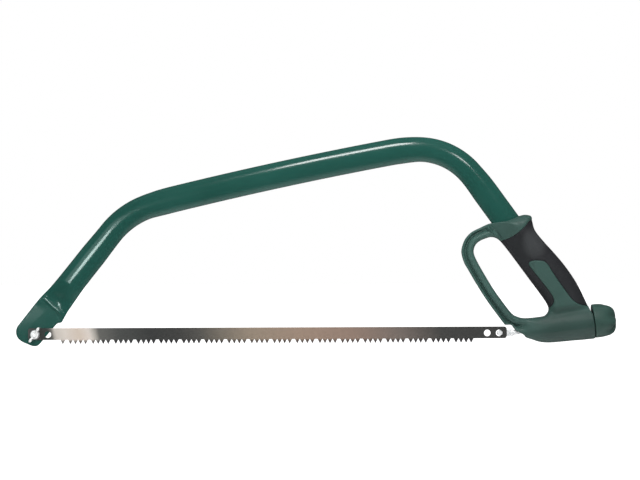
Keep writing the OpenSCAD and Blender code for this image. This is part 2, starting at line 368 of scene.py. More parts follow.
# ---------------------------------------------------------------- materials
def paint_material():
    """Gloss paint with pale specks, orange peel and shallow waves."""
    m = Material("gloss_green_paint")
    clouds = m.noise(scale=9, detail=2)
    base = m.mix(m.mask(clouds, low=0.35, high=0.65), srgb(24, 68, 60), srgb(28, 74, 66))
    specks = m.noise(scale=900, detail=2)
    base = m.mix(m.mask(specks, low=0.68, high=0.76), base, srgb(40, 90, 80))
    peel = m.bump(m.noise(scale=420, detail=1, rough=0.3), strength=0.004, distance=0.0003)
    waves = m.noise(scale=9, detail=0, rough=0.3)
    return m.finish(
        Base_Color=base,
        Roughness=m.scaled(m.noise(scale=60), gain=0.10, offset=0.13),
        Normal=m.bump(waves, strength=0.03, distance=0.0010, over=peel),
        Coat_Weight=0.5,
        Coat_Roughness=0.06,
        IOR=1.5,
    )


def plastic_material(name, dark, light, painted_shading=False):
    """Grained plastic, paler on worn edges, with painted shade in its grooves.

    The flag adds painted shade to the lower part of the handle's housing and a painted highlight
    to its guard.
    """
    m = Material(name)
    base = m.mix(m.mask(m.noise(scale=14), low=0.3, high=0.7), dark, light)
    if painted_shading:
        axes = m.axes()
        # Painted shade darkens the lower housing; painted light pales the guard.
        housing_painted_shade = m.math(
            "MULTIPLY",
            m.map_range(axes["X"], scene_x(562), scene_x(592), smooth=True),
            m.map_range(axes["Z"], scene_z(36), scene_z(16), top=0.42, smooth=True),
        )
        base = m.mix(housing_painted_shade, base, shade(dark, 0.45))
        guard = m.map_range(axes["X"], scene_x(545), scene_x(515), top=0.30, smooth=True)
        base = m.mix(guard, base, shade(light, 1.9))
    grain = m.noise(scale=1500, rough=0.6)
    fine = m.bump(grain, strength=0.10, distance=0.00020)
    flow = m.noise(scale=45, detail=1, rough=0.3)
    normal = m.bump(flow, strength=0.05, distance=0.001, over=fine)
    scuffs = m.noise(scale=220, detail=4, rough=0.6, stretch=(1, 1, 0.25))
    roughness = m.scaled(scuffs, gain=0.22, offset=0.31)
    pointiness = m.add("ShaderNodeNewGeometry").outputs["Pointiness"]
    worn = m.map_range(pointiness, start=0.58, end=0.72)
    base = m.mix(m.math("MULTIPLY", worn, 0.22), base, shade(light, 1.8))
    # Painted shade: ambient occlusion darkens grooves, crevices and gaps.
    occlusion = m.add("ShaderNodeAmbientOcclusion", samples=6)
    occlusion.inputs["Distance"].default_value = 4 * MM
    groove_painted_shade = m.map_range(occlusion.outputs["AO"], start=0.80, end=0.25, top=0.75)
    base = m.mix(groove_painted_shade, base, shade(dark, 0.30))
    return m.finish(
        Base_Color=base, Roughness=roughness, Normal=normal, Specular_IOR_Level=0.45
    )


def rubber_material():
    """Black soft cover, dusty, with a painted highlight near the collar."""
    sheen_x, sheen_half_width = 571.0, 13.0
    sheen_z, sheen_half_height = 104.0, 17.0
    m = Material("black_soft_cover")
    base = m.mix(m.noise(scale=18), srgb(28, 29, 32), srgb(38, 39, 42))
    fine = m.bump(m.noise(scale=2200, rough=0.65), strength=0.35, distance=0.0003)
    axes = m.axes()
    x = m.scaled(
        axes["X"],
        gain=1 / MM / sheen_half_width,
        offset=(ORIGIN_X - sheen_x) / sheen_half_width,
    )
    z = m.scaled(
        axes["Z"],
        gain=1 / MM / sheen_half_height,
        offset=(ORIGIN_Z - sheen_z) / sheen_half_height,
    )
    distance2 = m.math("ADD", m.math("MULTIPLY", x, x), m.math("MULTIPLY", z, z))
    # Painted highlight: a paler patch where light from the upper right falls.
    painted_sheen = m.map_range(distance2, start=1.7, end=0.2, top=0.85, smooth=True)
    base = m.mix(painted_sheen, base, srgb(53, 55, 57))
    dust = m.noise(scale=420, detail=5, rough=0.7)
    base = m.mix(m.mask(dust, low=0.62, high=0.80, top=0.5), base, srgb(74, 75, 78))
    return m.finish(
        Base_Color=base,
        Roughness=m.scaled(m.noise(scale=90), gain=0.18, offset=0.46),
        Normal=fine,
        Specular_IOR_Level=0.4,
    )


def zinc_material(name, colour, least_roughness, metallic):
    """Spangled zinc plate with faint warm patches."""
    m = Material(name)
    base = m.mix(m.noise(scale=160, detail=4, rough=0.6), shade(colour, 0.86), colour)
    warm = m.mask(m.noise(scale=60, detail=2), low=0.5, high=0.8, top=0.25)
    base = m.mix(warm, base, (0.80, 0.77, 0.69, 1))
    smears = m.noise(scale=300, detail=4, rough=0.65)
    return m.finish(
        Base_Color=base,
        Roughness=m.scaled(smears, gain=0.20, offset=least_roughness),
        Metallic=metallic,
        Normal=m.bump(m.noise(scale=700, rough=0.6), strength=0.05, distance=0.0001),
    )


# Painted reflection along the blade, broad bands of the mirrored surroundings: x, sRGB colour.
BLADE_PAINTED_REFLECTION = [
    (-8, (66, 68, 66)), (6, (22, 26, 24)), (15, (34, 38, 35)), (19, (84, 80, 76)),
    (22.5, (196, 186, 178)), (34, (214, 202, 193)), (50, (208, 190, 176)),
    (62, (216, 204, 196)), (67, (176, 168, 160)), (73, (92, 90, 86)), (95, (60, 60, 58)),
    (132, (34, 34, 33)), (165, (44, 42, 40)), (190, (72, 68, 63)), (215, (112, 102, 90)),
    (247, (143, 126, 109)), (304, (151, 127, 110)), (361, (140, 116, 102)),
    (418, (107, 95, 88)), (464, (50, 49, 47)), (498, (42, 42, 40)), (539, (42, 42, 40)),
]


def blade_material():
    """Polished strip steel: painted reflection along x, fine lengthwise grinding, dark tooth
    tips.
    """
    reflection_start, reflection_length = -8.5, 548.0
    m = Material("polished_blade")
    axes = m.axes()
    x, z = axes["X"], axes["Z"]
    # Position along the painted reflection, 0 to 1, made wavy by noise and slanted by height.
    along = m.scaled(x, gain=1 / MM / reflection_length, offset=(ORIGIN_X - reflection_start) / reflection_length)
    waver = m.scaled(m.noise(scale=22, detail=2), gain=0.01, offset=-0.005)
    slant = m.scaled(z, gain=0.5, offset=ORIGIN_Z * 0.5 * MM)
    along = m.math("ADD", m.math("ADD", along, waver), slant)
    stops = [((at - reflection_start) / reflection_length, srgb(*colour)) for at, colour in BLADE_PAINTED_REFLECTION]
    # Painted reflection: bands of the surroundings mirrored in the steel.
    painted_reflection = m.ramp(along, stops)
    grind = m.noise(scale=60, detail=6, rough=0.7, stretch=(6, 6, 260))
    base = m.mix(
        m.mask(grind, low=0.30, high=0.75),
        m.mix(0.14, painted_reflection, grey(0.02)),
        m.mix(0.06, painted_reflection, grey(1)),
    )
    tips = m.map_range(z, start=scene_z(-5.6), end=scene_z(-8.2))
    base = m.mix(m.math("MULTIPLY", tips, 0.78), base, srgb(50, 48, 52))
    return m.finish(
        Base_Color=base,
        Roughness=m.scaled(grind, gain=0.20, offset=0.26),
        Metallic=0.2,
        Specular_IOR_Level=0.25,
        Anisotropic=0.5,
        Normal=m.bump(grind, strength=0.10, distance=0.0002),
    )


PAINT = paint_material()
GREEN = plastic_material("moulded_green", srgb(45, 71, 65), srgb(52, 79, 73), painted_shading=True)
GREEN_KNOB = plastic_material("moulded_green_knob", srgb(41, 67, 60), srgb(47, 74, 67))
RUBBER = rubber_material()
ZINC = zinc_material("bright_zinc", grey(0.99), least_roughness=0.27, metallic=0.22)
ZINC_ROD = zinc_material(
    "rod_zinc", (0.90, 0.91, 0.92, 1), least_roughness=0.25, metallic=0.35
)
ZINC_DULL = zinc_material(
    "dull_zinc", (0.66, 0.67, 0.68, 1), least_roughness=0.31, metallic=0.7
)
BLADE = blade_material()

# ---------------------------------------------------------------- bow tube
# Heading in degrees at each joint of the bow's arcs, and the arcs' centreline radii.
BOW_HEADINGS = [51.26, 16.65, 13.57, 10.41, 2.87, -48.47, -54.17]
BOW_RADII = [94.8, 505.8, 4555, 227, 78.1, 230.7]
BOW_START = np.array([86.85, 115.97])
ARC_STEP = 1.6
BEND_NARROWING = 0.85
TUBE_SEGMENTS = 144

NOSE_HEADING = BOW_HEADINGS[0]
NOSE_LENGTH = 148.71
NOSE_ORIGIN = BOW_START - NOSE_LENGTH * np.array(
    [math.cos(math.radians(NOSE_HEADING)), math.sin(math.radians(NOSE_HEADING))]
)

REAR_HEADING = BOW_HEADINGS[-1]
REAR_LENGTH = 176.0
REAR_ALONG, REAR_ACROSS = unit(REAR_HEADING), left(REAR_HEADING)

PLATE_HALF_DEPTH = 1.4
PLATE_EDGE = 1.6

# Side outline of the nose leg: along it from the nose origin, and to the left of its heading.
NOSE_OUTLINE = [
    (-12.05, 3), (-11.9, 7.5), (-10.28, 11.57), (-6.87, 14.96), (-2.4, 16.97), (4, 17.2),
    (16, 17.3), (32, 17.4), (40, 17.2), (48, 16.5), (59, 15.5), (72, 15.1), (90, 15.0),
    (110, 15.0), (130, 15.0), (150, 15.0), (150, -15.0), (130, -15.0), (110, -15.0),
    (90, -15.1), (78, -15.4), (66, -16.1), (58, -16.7), (48, -17.4), (42, -18.3),
    (37, -19.1), (34.2, -19.6), (33.1, -19.4), (31.2, -17.9), (29.3, -16.6), (27, -16.2),
    (20, -15.9), (8, -15.6), (-1, -15.4), (-4.6, -14.6), (-7.2, -12.4), (-9.0, -9),
    (-10.4, -4), (-11.4, -0.5),
]
# Runs of rings up the nose leg: start, end, count.
NOSE_RUNS = [(-12.0, -4, 26), (-4, 34, 44), (34, 76, 96), (76, NOSE_LENGTH - 1, 44)]


def bow_path():
    """Stations (point, heading, arc length) after the nose leg; the rear leg's start."""
    stations = []
    point, run = BOW_START.copy(), 0.0
    for radius, start, end in zip(BOW_RADII, BOW_HEADINGS[:-1], BOW_HEADINGS[1:]):
        length = radius * math.radians(start - end)
        count = max(2, int(length / ARC_STEP))
        centre = point - radius * left(start)
        for i in range(count):
            heading = start + (end - start) * i / count
            stations.append((centre + radius * left(heading), heading, run + length * i / count))
        point, run = centre + radius * left(end), run + length
    for d in np.arange(0, REAR_LENGTH + 0.01, 4.0):
        stations.append((point + d * REAR_ALONG, REAR_HEADING, run + d))
    return stations, point, run


BOW_STATIONS, REAR_START, REAR_RUN = bow_path()


def nose_sides(outline, along):
    """Left and right edge of the nose leg at a station."""
    if along > 106:
        return TUBE_HALF_WIDTH, -TUBE_HALF_WIDTH
    crossings = []
    for (ua, va), (ub, vb) in zip(outline, np.roll(outline, -1, 0)):
        if (ua - along) * (ub - along) <= 0 and ua != ub:
            crossings.append(va + (along - ua) / (ub - ua) * (vb - va))
    return max(crossings), min(crossings)


def tube_ring(point, heading, across, y):
    points = point[None, :] + across[:, None] * left(heading)[None, :]
    return np.stack([points[:, 0], y, points[:, 1]], -1)


def nose_ring(outline, along, angles):
    """Ring of the nose leg: flat plate, then a crease and a dimple, then the oval tube."""
    vl, vr = nose_sides(outline, along)
    if along > 100:
        narrowing = BEND_NARROWING * smoothstep(along, 112.0, NOSE_LENGTH - 1)
        vl, vr = vl - narrowing, vr + narrowing
    middle, half = (vl + vr) / 2, (vl - vr) / 2
    # From a plate with rounded edges to an ellipse.
    tubeness = float(smoothstep(along, 44.0, 74.0))
    edge = PLATE_EDGE + (half - PLATE_EDGE) * min(1.0, max(0.0, (along - 40.0) / 22.0)) ** 0.8
    swell = 0.30 * min(1, max(0, (along - 44) / 30.0)) + 0.70 * tubeness
    depth = PLATE_HALF_DEPTH + (TUBE_HALF_DEPTH - PLATE_HALF_DEPTH) * swell
    cosine = np.cos(angles)
    v = middle + half * np.sign(cosine) * np.abs(cosine) ** (1 - 0.35 * (1 - tubeness))
    inset = np.minimum(v - vr, vl - v)
    if along < 6:  # round corners of the clamp end
        u = np.full(len(v), along, np.float32)
        corner = -poly_sdf(outline, u, v.astype(np.float32))
        inset = np.minimum(inset, np.maximum(corner, 0))
    y = depth * np.sqrt(np.clip(1 - (1 - np.clip(inset / edge, 0, 1)) ** 2, 0, 1))
    # Crease ridge with the dimple above it, and a facet on the plate's left, on both faces.
    reach = np.clip(1 - (np.abs(v - middle) / (half * 0.93)) ** 6, 0, 1)
    crease = 42.3 + 0.06 * v
    ridge_height = 1.15 - 0.035 * (v - middle)
    ridge = ridge_height * np.exp(-(((along - crease) / 2.5) ** 4)) * reach
    hollow = np.clip(1 - ((v - middle) / (half * 0.78)) ** 2, 0, 1) ** 1.5
    dimple = -1.6 * np.exp(-(((along - crease - 10.5) / 6.0) ** 2)) * hollow
    facet = (
        -0.030
        * np.clip(v - 4.5 + 0.12 * (along - 20), 0, None)
        * smoothstep(along, -6.0, 22.0)
        * (1 - smoothstep(along, 30.0, 40.0))
    )
    y = np.maximum(y + ridge + dimple + facet, 0.15)
    y = y * np.where(np.sin(angles) >= 0, 1.0, -1.0)
    y = np.where(np.abs(np.sin(angles)) < 1e-9, 0, y)
    centre_y = (BLADE_BACK_Y + PLATE_HALF_DEPTH) * (1 - tubeness)
    point = NOSE_ORIGIN + along * unit(NOSE_HEADING)
    return tube_ring(point, NOSE_HEADING, v, y + centre_y)


def build_tube():
    angles = 2 * np.pi * np.arange(TUBE_SEGMENTS) / TUBE_SEGMENTS
    outline = spline(NOSE_OUTLINE, 6)
    stations = np.unique(np.concatenate([np.linspace(*run) for run in NOSE_RUNS]))
    rings = [nose_ring(outline, along, angles) for along in stations]
    for point, heading, run in BOW_STATIONS:
        # The tube narrows a little in its two tight bends.
        bend = max(
            1 - smoothstep(run, 48.0, 75.0),
            smoothstep(run, REAR_RUN - 112.0, REAR_RUN - 82.0)
            * (1 - smoothstep(run, REAR_RUN - 22.0, REAR_RUN + 8.0)),
        )
        half = TUBE_HALF_WIDTH - BEND_NARROWING * bend
        y = TUBE_HALF_DEPTH * np.sin(angles)
        rings.append(tube_ring(point, heading, half * np.cos(angles), y))
    add_piece(
        "frame_tube_visual", loft(rings), PAINT, "frame", "frame_tube"
    )


build_tube()

# ---------------------------------------------------------------- rod axis
ROD_ORIGIN = np.array([545.0, 0.0])
ROD_TILT = 7.9
ROD_ALONG, ROD_ACROSS = unit(ROD_TILT), left(ROD_TILT)
KNOB_START = 94.8  # along the rod


def on_rod(along, near, up):
    """Point by its place along the rod, towards the viewer, and up square to the rod."""
    x = ROD_ORIGIN[0] + along * ROD_ALONG[0] + up * ROD_ACROSS[0]
    z = ROD_ORIGIN[1] + along * ROD_ALONG[1] + up * ROD_ACROSS[1]
    return x, -near, z


# ---------------------------------------------------------------- handle
# Side outlines (x, z) of the handle and of the opening for the fingers.
HANDLE_OUTLINE = [
    (521.2, 125.6), (538, 129.4), (555, 134.2), (562, 135.3), (568.2, 133.4), (569.6, 127),
    (572.7, 117), (582.5, 104.5), (594, 91.8), (604.2, 79.7), (613.9, 66.4), (622.2, 52.7),
    (628.8, 38.9), (633, 29.5), (634.6, 25), (638, 19.5), (640, 12), (641.2, 3), (641.2, -6),
    (632.5, -7.7), (615.3, -9.2), (598, -10.8), (586.7, -11.4), (577, -10.5), (568, -7.6),
    (561.8, -5.5), (559.6, -2.8), (556.3, -0.8), (551, 1.6), (547.4, 5.2), (544.4, 8.7),
    (538.8, 8.9), (537, 9.5), (534.7, 12.4), (531.8, 16.3), (521.6, 30.1), (512.4, 43.5),
    (503.8, 57.7), (495.9, 71.5), (490.8, 80.6), (488, 90.5), (488.4, 97.8), (492.1, 107.4),
    (499, 115), (508.2, 119.9),
]
OPENING_OUTLINE = [
    (521.9, 109.4), (528.7, 107.7), (534.4, 102.5), (543.5, 91), (556.4, 73.5), (569, 56.3),
    (581.5, 39.1), (586.3, 31), (587.2, 25.3), (583.9, 19.6), (576.5, 17.9), (560.4, 16.9),
    (552.4, 18.4), (545.8, 22), (536.5, 33.5), (523.9, 51.4), (511.9, 71.4), (504.6, 85.1),
    (502.2, 93), (504, 100), (508.5, 104.6), (515, 107.6),
]
# Edges of the soft cover (x, z): the seam at the collar and the window left green below.
SEAM = [
    (526, 103.4), (534.9, 105.4), (548.1, 111.6), (558.6, 120.3), (565.6, 128.1), (574, 130.5),
]
WINDOW = [
    (640, 30.2), (630.1, 30.9), (622.6, 32.6), (616.6, 35.6), (611.2, 41.0), (603.5, 51.6),
    (596.0, 62.1), (588.6, 73.6), (584.9, 79.2), (580.7, 82.1), (574.5, 82.9), (569.2, 82.7),
    (565.6, 81.4), (564.4, 78.9), (565.7, 75.6), (573.1, 66.0), (580.6, 56.5), (587.3, 47.8),
    (591.6, 40.8), (592.7, 36.0), (590.5, 31.2), (587.1, 28.4), (582, 26),
]
# Joins between seam and window, outside the covered part of the handle.
COVER_RIGHT = [(620, 120), (650, 70), (650, 30.2)]
COVER_LEFT = [(560, 20), (500, 80), (515, 100)]
# Turned housing about the rod: place along the rod, radius.
HOUSING = [
    (5, 4.6), (9, 5.4), (13.5, 6.8), (18, 8.9), (24, 11.4), (31, 14.0), (38, 15.9),
    (46, 17.0), (58, 17.6), (74, 18.35), (90, 18.95), (96, 19.05),
]
HOUSING_START, HOUSING_END = 6.0, 94.3
LOBE_ANGLE = 72.0  # the housing's and the knob's five lobes
COVER_DEPTH = 2.2
COVER_SEAT_GAP = 0.1
SOCKET_GAP = 0.05
TUNNEL_RADIUS = 3.5
SEAT_RADIUS, SEAT_START = 9.4, 93.2


def through(plane):
    """Spreads an xz field across y."""
    return plane[:, None, :]


def handle_grid(spacing):
    """Sample grid with the outline distances and the tube's and rod's coordinates."""
    axes = grid_axes(spacing, (484, 647), (-21, 21 + spacing / 2), (-16, 140))
    x, z = np.meshgrid(axes[0], axes[2], indexing="ij")
    y = axes[1][None, :, None]
    tube_along, tube_across = in_frame(x, z, REAR_START, REAR_ALONG, REAR_ACROSS)
    rod_along, rod_up = in_frame(x, z, ROD_ORIGIN, ROD_ALONG, ROD_ACROSS)
    return SimpleNamespace(
        axes=axes,
        x=x,
        y=y,
        z=z,
        outline=poly_sdf(spline(HANDLE_OUTLINE, 6), x, z),
        opening=poly_sdf(spline(OPENING_OUTLINE, 8), x, z),
        tube_along=tube_along,
        tube_across=tube_across,
        rod_along=rod_along,
        rod_up=rod_up,
        rod_radius=np.sqrt(through(rod_up) ** 2 + y**2),
    )


def grip_field(g):
    """Full rounded grip, thinning to the guard's upper arm and to a web elsewhere."""
    web, arm_depth, grip_depth = 1.5, 6.0, 15.4
    arm_edge, grip_edge = 5.0, 16.0
    power = 2.3
    # The grip fades out towards the turned housing below.
    grip = smoothstep(g.tube_across, -25.0, -17.5) * smoothstep(g.rod_up, 4.0, 24.0)
    arm = smoothstep(g.tube_across, -31.0, -20.0) * smoothstep(g.z, 96.0, 116.0)
    depth = web + (arm_depth - web) * arm
    depth = depth + (grip_depth - depth) * grip
    collar = smoothstep(g.tube_along, 62.0, 40.0)
    depth = depth + 1.2 * grip * collar
    waist_start = smoothstep(g.tube_along, 70.0, 120.0)
    waist_end = smoothstep(g.tube_along, 150.0, 176.0)
    depth = depth * (1 - 0.10 * waist_start * (1 - waist_end))
    edge = web + (arm_edge - web) * arm
    edge = edge + (grip_edge - edge) * grip

    inset = -smax(g.outline, -g.opening, 1.5)
    to_edge = np.clip(1 - np.clip(inset, 0, None) / edge, 0, 1)
    total = (np.abs(g.y) / through(depth)) ** power + through(to_edge) ** power
    body = (total ** (1 / power) - 1) * through(np.minimum(depth, edge)) * 0.9
    body = np.maximum(body, through(-inset))

    # On the opening's side of a slanted line the faces slope inwards.
    top, bottom = np.array([555.2, 113.4]), np.array([594.5, 36.0])
    line = (bottom - top) / np.hypot(*(bottom - top))
    beyond = (g.x - top[0]) * line[1] - (g.z - top[1]) * line[0]
    slope = 14.9 - 0.46 * np.clip(beyond, 0, None) * smoothstep(g.z, 24.0, 44.0)
    off_grip = (1 - grip) * 20.0
    return smax(body, np.abs(g.y) - through(slope + off_grip), 0.8)


def guard_field(g):
    """Oval bar round the opening and a thin rib on the outer edge, off the grip."""
    bar_half_width, bar_half_depth = 4.3, 8.0
    rib_half_width, rib_half_depth = 1.75, 3.6
    bar = ellipsoid(
        (through(g.opening - bar_half_width), g.y), (bar_half_width, bar_half_depth), power=2.3
    )
    rib = ellipsoid(
        (through(-g.outline - rib_half_width), g.y), (rib_half_width, rib_half_depth)
    )
    rib = np.maximum(rib, through(g.opening - 18.0))
    return np.maximum(through(g.tube_across + 17.0), smin(bar, rib, 0.5))


def housing_field(g):
    """Turned body about the rod with five faint lengthwise ridges."""
    half = LOBE_ANGLE / 2
    profile = spline(HOUSING, 6, closed=False)
    radius = np.interp(g.rod_along, profile[:, 0], profile[:, 1]).astype(np.float32)
    # 0 towards the viewer and 90 up, then folded to 0 at each ridge.
    angle = np.degrees(np.arctan2(through(g.rod_up), -g.y))
    from_ridge = (angle + 90.0 + half) % LOBE_ANGLE - half
    lobe = np.cos(np.radians(half)) / np.cos(np.radians(half - np.abs(from_ridge)))
    share = 0.30 * through(smoothstep(g.rod_along, 22.0, 50.0))
    lobed_radius = through(radius) * (1 - share + share * lobe)
    housing = (g.rod_radius - lobed_radius) * 0.96
    housing = smax(housing, through(g.rod_along - HOUSING_END), 1.2)
    return np.maximum(housing, through(HOUSING_START - g.rod_along))


def handle_solid(g):
    solid = smin(grip_field(g), guard_field(g), 1.2)
    solid = smin(solid, housing_field(g), 5.0)
    # Both side outlines bound the blended solid.
    solid = smax(solid, through(g.outline), 1.0)
    return smax(solid, through(-g.opening), 1.0)


def cover_zone(g):
    """Side-view distance to the part under the soft cover, negative inside."""
    seam, window = spline(SEAM, 6, closed=False), spline(WINDOW, 6, closed=False)
    zone = poly_sdf(np.concatenate([seam, COVER_RIGHT, window, COVER_LEFT]), g.x, g.z)
    return np.maximum(zone, -19.6 - g.tube_across)  # the guard stays green


def green_field(g, solid, zone):
    """Handle body less the cover's recess, tube socket, rod tunnel and washer seat."""
    recess = np.maximum(through(zone - 0.03), -(solid + COVER_DEPTH - COVER_SEAT_GAP))
    # The window stands a little proud of the cover.
    lift = (
        0.45
        * smoothstep(zone, 0.1, 1.3)
        * smoothstep(g.tube_along, 64.0, 72.0)
        * (1 - smoothstep(g.rod_along, 80.0, 92.0))
        * smoothstep(g.tube_across, -18.0, -12.0)
    )
    green = np.maximum(np.maximum(solid - through(lift), through(g.outline)), -recess)
    socket = np.sqrt(
        (through(g.tube_across) / (TUBE_HALF_WIDTH + SOCKET_GAP)) ** 2
        + (g.y / (TUBE_HALF_DEPTH + SOCKET_GAP)) ** 2
    ) - 1
    socket = np.maximum(socket * TUBE_HALF_DEPTH, through(g.tube_along - REAR_LENGTH))
    green = np.maximum(green, -socket)
    green = np.maximum(green, -(g.rod_radius - TUNNEL_RADIUS))
    seat = np.maximum(g.rod_radius - SEAT_RADIUS, through(SEAT_START - g.rod_along))
    return np.maximum(green, -seat)


def cover_field(solid, zone):
    """Skin of the handle inside the zone, with a hairline gap all round."""
    cover = np.maximum(solid + 0.05, through(zone + 0.05))
    return np.maximum(cover, -(solid + COVER_DEPTH))


def build_handle():
    g = handle_grid(HANDLE_GRID)
    solid, zone = handle_solid(g), cover_zone(g)
    for name, field, material, slot, stands_for in (
        ("handle_visual", green_field(g, solid, zone), GREEN, "green_plastic", "handle_body"),
        ("grip_cover_visual", cover_field(solid, zone), RUBBER, "black_rubber",
         "grip_overmould"),
    ):
        shell = sdf_mesh(field, g.axes, HANDLE_GRID)
        piece = add_piece(name, shell, material, "frame", stands_for)
        soften = piece.modifiers.new("soften", "SMOOTH")
        soften.factor = 0.5
        soften.iterations = 2


build_handle()


# ---------------------------------------------------------------- turned pieces
def turned_ring(place, height, radius, angles):
    """Ring about an axis; place maps (height, a, b) to x, y, z."""
    x, y, z = place(height, radius * np.cos(angles), radius * np.sin(angles))
    return np.stack(np.broadcast_arrays(x, y, z), -1)


def full_turn(count):
    return 2 * np.pi * np.arange(count) / count


def threaded(profile, place, segments, start, end, pitch, depth):
    """Lathes (height, radius) stations, cutting a thread between start and end."""
    angles = full_turn(segments)
    rings = []
    for height, r in profile:
        radius = np.full(segments, float(r))
        if start <= height <= end:
            fade = min(1.0, (height - start) / pitch, (end - height) / pitch)
            phase = (height / pitch - angles / (2 * np.pi)) % 1.0
            crest = np.clip((1 - np.abs(2 * phase - 1) - 0.12) / 0.76, 0, 1)
            radius = radius - depth * fade * (1 - crest)
        rings.append(turned_ring(place, height, radius, angles))
    return loft(rings)


# Knob profiles at the ridges and at the scoops between: along from its start, radius.
KNOB_RIDGE = [
    (0.0, 4.0), (0.0, 14.0), (0.0, 17.9), (0.03, 18.5), (0.25, 18.95), (0.9, 19.25),
    (3.5, 19.38), (7.5, 19.38), (12.8, 18.95), (17.8, 17.9), (21.2, 16.0), (23.4, 13.4),
    (24.7, 9.9), (25.3, 6.0), (25.5, 2.4),
]
KNOB_SCOOP = [
    (0.0, 4.0), (0.0, 14.0), (0.0, 17.8), (0.03, 18.4), (0.25, 18.8), (0.9, 19.15),
    (3.5, 19.15), (7.0, 18.9), (12.2, 17.8), (16.4, 15.6), (19.5, 12.6), (22.1, 9.5),
    (23.9, 6.4), (24.9, 3.9), (25.3, 1.9),
]


def build_knob():
    segments = 240
    degrees = 360.0 * np.arange(segments) / segments
    half = LOBE_ANGLE / 2
    from_scoop = (degrees - 90.0 + half) % LOBE_ANGLE - half
    ridge_share = np.sin(np.pi * np.abs(from_scoop) / LOBE_ANGLE) ** 2.2
    rings = []
    for scoop, ridge in zip(
        spline(KNOB_SCOOP, 8, closed=False), spline(KNOB_RIDGE, 8, closed=False)
    ):
        along = scoop[0] + (ridge[0] - scoop[0]) * ridge_share
        radius = scoop[1] + (ridge[1] - scoop[1]) * ridge_share
        rings.append(turned_ring(on_rod, KNOB_START + along, radius, np.radians(degrees)))
    add_piece(
        "tension_knob_visual", loft(rings), GREEN_KNOB, "knob", "tension_knob"
    )


build_knob()

# ---------------------------------------------------------------- nose clamp
SCREW_X = -0.5
SCREW_RADIUS = 2.46
SCREW_THREAD_START, SCREW_THREAD_END = 1.2, 9.6
WASHER_SEAT = 0.9  # heights on the screw, towards the viewer
NUT_SEAT = 1.92
NUT_ANGLE = 56
NUT_BORE = 2.56


def on_screw(height, a, b):
    """Point on the clamp screw; height runs towards the viewer from the blade's back."""
    return SCREW_X + a, BLADE_BACK_Y - height, b


def build_front_screw():
    """Domed head on the plate's far face and a threaded shank towards the viewer."""
    head = -2 * PLATE_HALF_DEPTH
    dome_height, dome_radius = 3.0, 5.95
    profile = [(head - dome_height, 0.01)]
    for i in range(1, 15):
        quarter = i / 14 * math.pi / 2
        profile.append(
            (
                head - dome_height * math.cos(quarter * 0.96),
                dome_radius * math.sin(quarter) ** 0.85,
            )
        )
    profile += [(head - 0.25, 5.98), (head - 0.02, 5.8), (head - 0.02, 2.6)]
    profile.append((head, SCREW_RADIUS))
    shank = np.arange(head + 0.1, SCREW_THREAD_END, 0.08)
    profile += [(float(height), SCREW_RADIUS) for height in shank]
    profile += [(9.65, 2.3), (9.85, 2.0), (9.88, 1.2), (9.88, 0.01)]
    shell = threaded(
        profile, on_screw, segments=64,
        start=SCREW_THREAD_START, end=SCREW_THREAD_END, pitch=0.8, depth=0.42,
    )
    add_piece("clamp_screw_visual", shell, ZINC, "frame", "front_screw")


def build_front_washer():
    # Closed section: height above the seat, radius.
    section = [
        (0.02, 2.75), (0.02, 5.3), (0.18, 5.46), (0.8, 5.46),
        (0.98, 5.3), (0.98, 2.75), (0.8, 2.62), (0.2, 2.62),
    ]
    angles = full_turn(96)
    rings = [turned_ring(on_screw, WASHER_SEAT + h, r, angles) for h, r in section]
    add_piece(
        "clamp_washer_visual", loft(rings, closed=True), ZINC_DULL,
        "nose_washer", "front_washer",
    )


def build_wing_nut():
    """Tapered boss with two wings, each a fat rounded ear on a thinner web."""
    # Along the wings, across them, and height from the seat.
    axes = grid_axes(FITTING_GRID, (-11.2, 11.3), (-5.6, 5.7), (-0.8, 12.0))
    along, across, height = np.meshgrid(*axes, indexing="ij")
    radius = np.sqrt(along * along + across * across)
    boss_height = 5.2
    boss = radius - (4.75 - 0.55 * np.clip(height / boss_height, 0, 1) ** 1.4)
    boss = smax(boss, np.maximum(height - boss_height, -height), 0.7)
    out = np.abs(along)
    ear = ellipsoid((out - 7.35, height - 7.4, across), (2.75, 3.0, 1.45))
    # The web follows a slanted line from its foot.
    foot_out, foot_height = 3.2, 2.4
    run, rise = 4.2, 5.0
    t = ((out - foot_out) * run + (height - foot_height) * rise) / (run**2 + rise**2)
    t = np.clip(t, 0, 1)
    web = ellipsoid(
        (out - foot_out - run * t, height - foot_height - rise * t, across), (2.0, 2.0, 1.25)
    )
    nut = smin(smin(ear, web, 0.8), boss, 1.2)
    nut = smax(nut, -height, 0.4)
    nut = np.maximum(nut, -(radius - NUT_BORE))
    points, faces = sdf_mesh(nut, axes, FITTING_GRID)
    c, s = unit(NUT_ANGLE)
    x, y, z = on_screw(
        points[:, 2] + NUT_SEAT,
        points[:, 0] * c - points[:, 1] * s,
        points[:, 0] * s + points[:, 1] * c,
    )
    shell = np.stack([x, y, z], -1), faces
    add_piece("wing_nut_visual", shell, ZINC, "wing", "wing_nut")


# ---------------------------------------------------------------- draw rod
PIN_X = 531.5
PIN_RADIUS = 2.92
PIN_NEAR_Y = -5.45
STRAP_Y = BLADE_BACK_Y + 1.83
STRAP_HALF_DEPTH, STRAP_HALF_HEIGHT = 1.75, 3.6
STRAP_END_X = 546.2
ROD_RADIUS = 2.96


